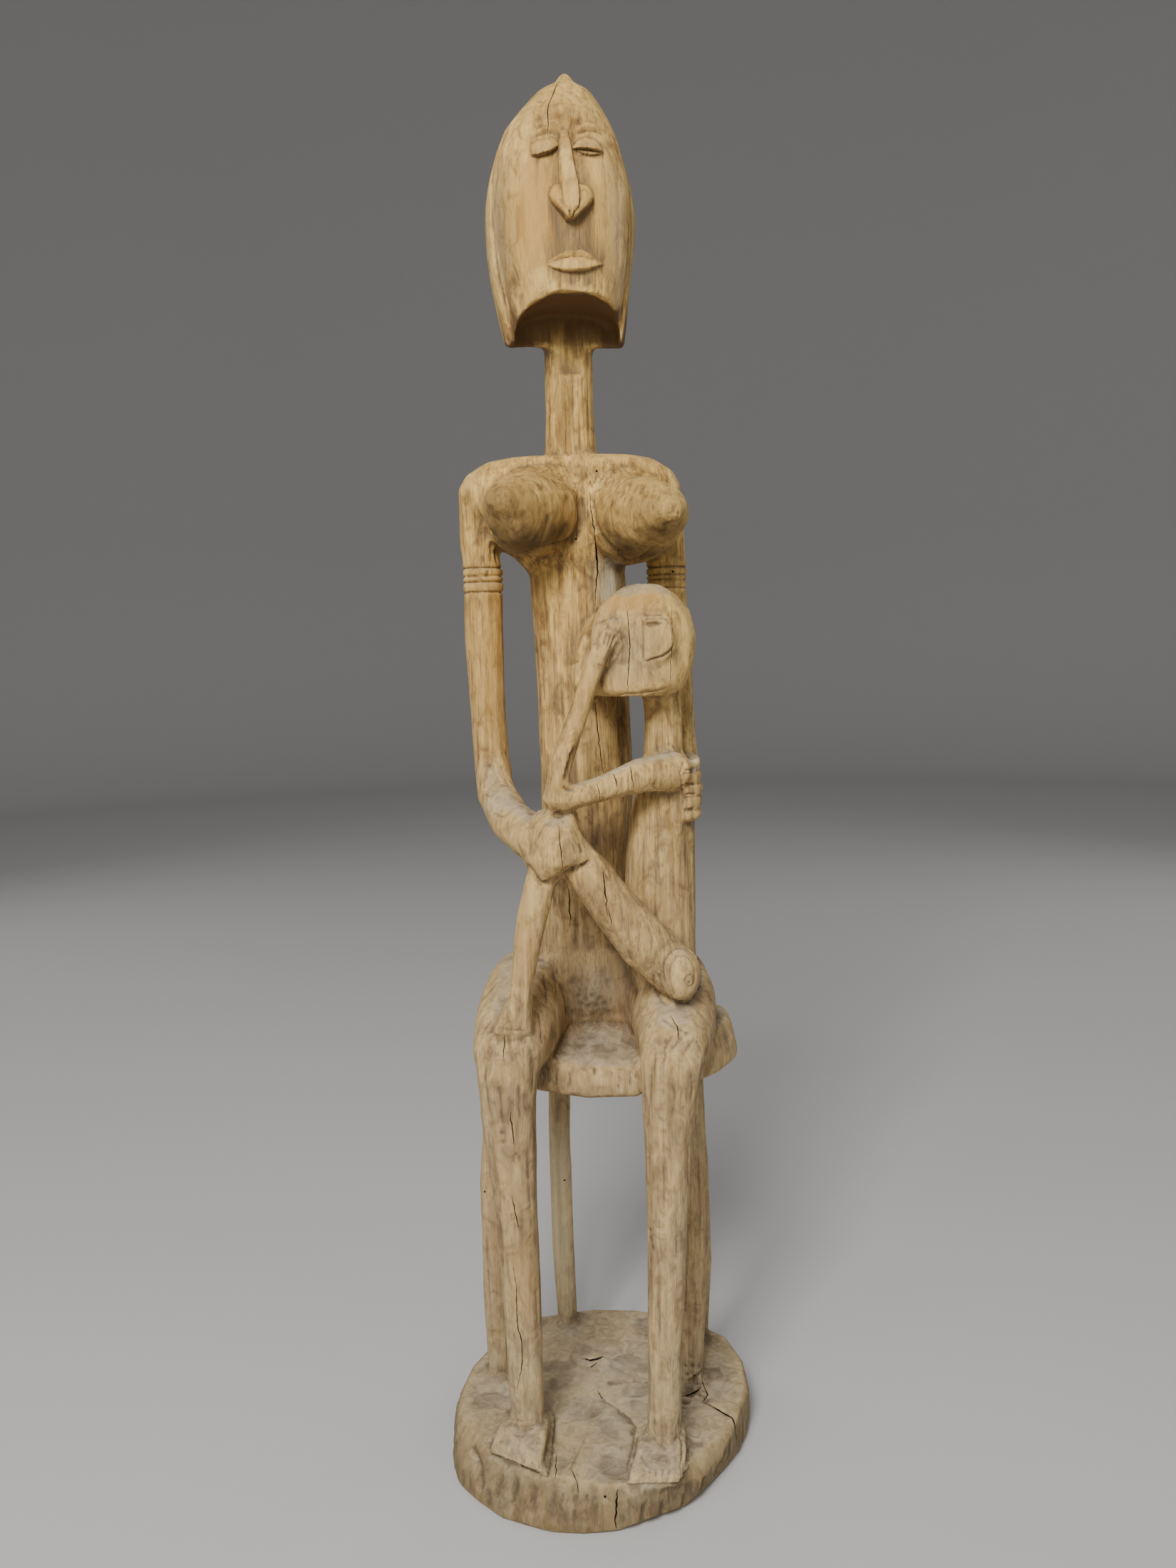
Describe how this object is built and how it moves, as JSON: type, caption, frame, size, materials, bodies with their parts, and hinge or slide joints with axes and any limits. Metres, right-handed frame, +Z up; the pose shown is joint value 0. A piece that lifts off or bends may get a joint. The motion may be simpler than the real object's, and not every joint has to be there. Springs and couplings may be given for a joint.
{
  "type": "african maternity figure",
  "caption": "Seated carved wooden mother with a child on her thigh, on a stool over a rough round base, cut from one log.",
  "frame": {"origin": "middle of the bounding box, on the flat underside of the base", "axes": "+Z up towards the tip of the head, -Y the side that the mother faces, +X to the viewer's right, the mother's left"},
  "size_m": [0.312, 0.3084, 1.349],
  "materials": {
    "weathered_wood": "bare, dry, weathered carved wood, matte, with tool marks, checks and dirt in the hollows"
  },
  "bodies": {
    "root": {"maternity_figure": "weathered_wood"}
  },
  "joints": []
}
